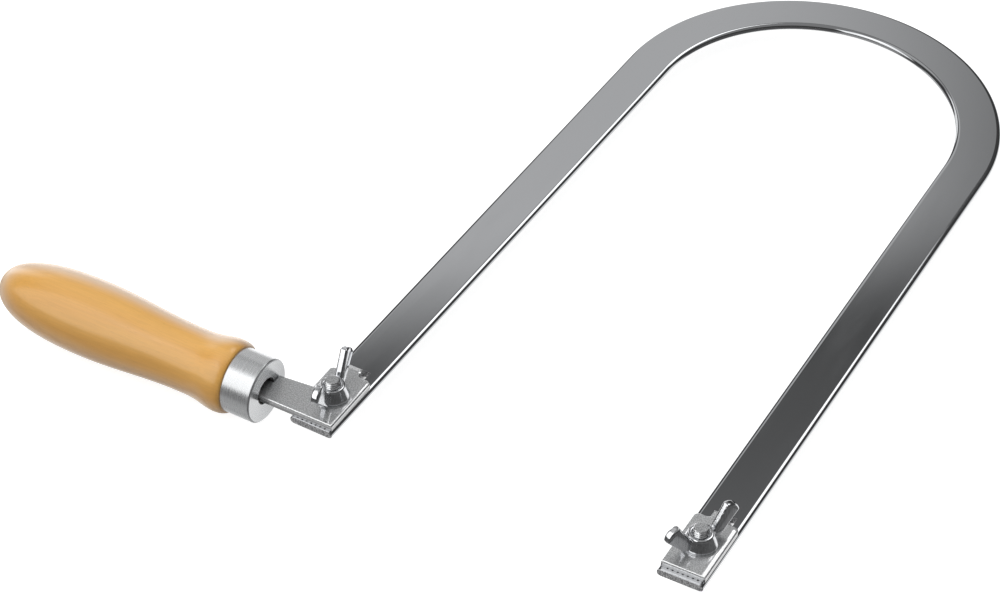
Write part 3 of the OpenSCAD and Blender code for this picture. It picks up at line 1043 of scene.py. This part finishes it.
def head_mesh(name, centre):
    """The low round head under the bow, a piece of a sphere with a rounded brim."""
    dome = (head_radius**2 + head_height**2) / (2 * head_height)
    spread = np.linspace(0, math.asin(head_radius / dome), head_rows)
    length = head_height - dome * (1 - np.cos(spread))
    profile = np.concatenate([
        [(0.0, 0.0)],
        [(0.0, head_radius)],
        np.stack([length, dome * np.sin(spread)], axis=-1)[::-1],
    ])
    origin = np.array([centre[0], centre[1], -bar_thick])
    return turned_mesh(name, profile, origin, -upright, level_side, head_columns)


def join_meshes(name, meshes):
    """One mesh that holds several."""
    work = bmesh.new()
    for mesh in meshes:
        work.from_mesh(mesh)
        bpy.data.meshes.remove(mesh)
    joined = bpy.data.meshes.new(name)
    work.to_mesh(joined)
    work.free()
    return joined


bolt_zinc, tree, shader = new_material("bolt_zinc", {"Metallic": 1.0})
place = add_node(tree, "TexCoord").outputs["Object"]
crystals = add_grain(
    tree,
    place,
    (2600.0, 2600.0, 2600.0),
    Dark=(0.62, 0.63, 0.64, 1.0),
    Pale=(0.72, 0.73, 0.74, 1.0),
    Bright=0.22,
    Dull=0.3,
)
link(tree, crystals["Color"], shader, "Base Color")
link(tree, crystals["Roughness"], shader, "Roughness")
link(tree, bump(tree, crystals["Height"], bolt_grain_height), shader, "Normal")

joints = {joint["name"]: joint for joint in frame["joints"]}
for side in leg_sides:
    centre = joints[side + "_nut_turn"]["pos_m"]
    parts = [thread_mesh("thread", centre), head_mesh("head", centre)]
    mesh = join_meshes(side + "_bolt", parts)
    bolt = make_piece(mesh, (bolt_zinc,), "bow", "zinc_bolt", side + "_clamp_bolt")
    add_modifier(bolt, "EDGE_SPLIT", split_angle=bevel_angle)

# Wing nuts
# Forged with two raised wings on a tapered hub, tapped M5 and bright plated, so all
# their edges are soft. The nut stands on its plate, a bevel at its foot.
nut_bore = 0.0025
nut_foot_radius = 0.00545
nut_foot_bevel = 0.0005
nut_top_radius = 0.0041
nut_height = 0.0048
nut_top_round = 0.0006
nut_mouth = 0.0004
wing_span = 0.0132
wing_height = 0.0118
wing_thick = 0.003
wing_width = 0.0058
wing_end_radius = 0.0043
wing_slope = math.radians(51)
wing_root = 0.0063
wing_start = 0.0033
wing_edge = 0.0008
wing_crown = 0.00015
wing_soften = 0.00025
nut_turns = {"handle": math.radians(97), "free": math.radians(64)}
nut_voxel = 0.00013
nut_smoothing = 4
outline_steps = 240
wing_end_points = 16
wing_rows = 8
wing_core_share = 0.1
hub_columns = 128
streak_height = 0.00001


def wing_outline():
    """Points [n, 2] of a wing seen from the side: out from the axis, and up from the foot.

    The straight edges flare from the hub to the rounded end. The corners are softened
    by a running mean along the outline.
    """
    along = np.array([math.cos(wing_slope), math.sin(wing_slope)])
    across = np.array([along[1], -along[0]])
    top = np.array([wing_span - wing_width * across[0], wing_height])
    low = top + wing_width * across
    depth = math.sqrt(wing_end_radius**2 - wing_width**2 / 4)
    centre = (top + low) / 2 - depth * along
    spread = math.asin(wing_width / 2 / wing_end_radius)
    angle = wing_slope + np.linspace(-spread, spread, wing_end_points)
    end = centre + wing_end_radius * np.stack([np.cos(angle), np.sin(angle)], axis=-1)
    inside = np.array([
        [nut_top_radius, nut_height - nut_top_round],
        [wing_start, nut_height - nut_top_round],
        [wing_start, nut_foot_bevel],
        [wing_root, nut_foot_bevel],
    ])
    corners = np.concatenate([end, inside, end[:1]])
    reach = np.concatenate([[0], np.cumsum(np.linalg.norm(np.diff(corners, axis=0), axis=1))])
    at = np.linspace(0, reach[-1], outline_steps, endpoint=False)
    points = np.stack([np.interp(at, reach, corners[:, i]) for i in (0, 1)], axis=-1)
    half = int(wing_soften / reach[-1] * outline_steps)
    shifts = range(-half, half + 1)
    return sum(np.roll(points, shift, axis=0) for shift in shifts) / len(shifts)


def wing_mesh(name, origin, turn):
    """One wing: its outline, drawn in over a quarter round at each edge, and then drawn
    in to the wing's middle line over a face that is crowned by a parabola."""
    outline = wing_outline()
    step = np.roll(outline, -1, axis=0) - np.roll(outline, 1, axis=0)
    step = step / np.linalg.norm(step, axis=1)[:, None]
    outwards = np.stack([step[:, 1], -step[:, 0]], axis=-1)
    inner = outline - wing_edge * outwards
    along = np.array([math.cos(wing_slope), math.sin(wing_slope)])
    start = np.array([wing_start + wing_edge, nut_height / 2])
    reach = np.clip((inner - start) @ along, 0, wing_height - 2 * wing_edge)
    middle = start + reach[:, None] * along
    half = wing_thick / 2 - wing_crown
    rows, heights = [], []
    for share in np.linspace(1, wing_core_share, wing_rows):
        rows.append(inner + share * (middle - inner))
        heights.append(-half - wing_crown * (1 - (1 - share) ** 2))
    for angle in np.linspace(-math.pi / 2, 0, wing_rows):
        rows.append(inner + wing_edge * math.cos(angle) * outwards)
        heights.append(-half + wing_edge + wing_edge * math.sin(angle))
    rows = np.array(rows + rows[::-1])
    heights = np.array(heights + [-h for h in heights[::-1]])
    beside = np.array([math.cos(turn), math.sin(turn), 0])
    facing = np.array([-math.sin(turn), math.cos(turn), 0])
    grid = origin + rows[..., :1] * beside + rows[..., 1:] * [0, 0, 1]
    grid = grid + heights[:, None, None] * facing
    return grid_mesh(name, grid, rows)


bright, tree, shader = new_material("bright_nut", {"Metallic": 1.0})
place = add_node(tree, "TexCoord").outputs["Object"]
streaks = add_grain(
    tree,
    place,
    (1900.0, 1900.0, 180.0),
    detail=3.0,
    Dark=(0.68, 0.69, 0.71, 1.0),
    Pale=(0.82, 0.83, 0.85, 1.0),
    Bright=0.05,
    Dull=0.15,
)
link(tree, streaks["Color"], shader, "Base Color")
link(tree, streaks["Roughness"], shader, "Roughness")
link(tree, bump(tree, streaks["Height"], streak_height), shader, "Normal")

mouth = nut_bore + nut_mouth
top_centre = (nut_height - nut_top_round, nut_top_radius - nut_top_round)
hub_profile = np.concatenate([
    [(nut_height - nut_mouth, nut_bore), (nut_height, mouth)],
    quarter(top_centre, nut_top_round, 0),
    [
        (2 * nut_foot_bevel, nut_foot_radius),
        (nut_foot_bevel, nut_foot_radius),
        (0.0, nut_foot_radius - nut_foot_bevel),
        (0.0, nut_bore),
        (nut_height - nut_mouth, nut_bore),
    ],
])
for side in leg_sides:
    centre = np.array(joints[side + "_nut_turn"]["pos_m"])
    foot = np.array([centre[0], centre[1], plate_thick])
    turn = nut_turns[side]
    hub = turned_mesh("hub", hub_profile, foot, upright, level_side, hub_columns)
    wings = [wing_mesh("wing", foot, turn + half) for half in (0, math.pi)]
    mesh = join_meshes(side + "_nut", [hub] + wings)
    nut = make_piece(mesh, (bright,), side + "_nut", "bright_nut", side + "_wing_nut")
    add_modifier(nut, "REMESH", mode="VOXEL", voxel_size=nut_voxel, use_smooth_shade=True)
    add_modifier(nut, "SMOOTH", factor=0.5, iterations=nut_smoothing)
    apply_modifiers(nut)
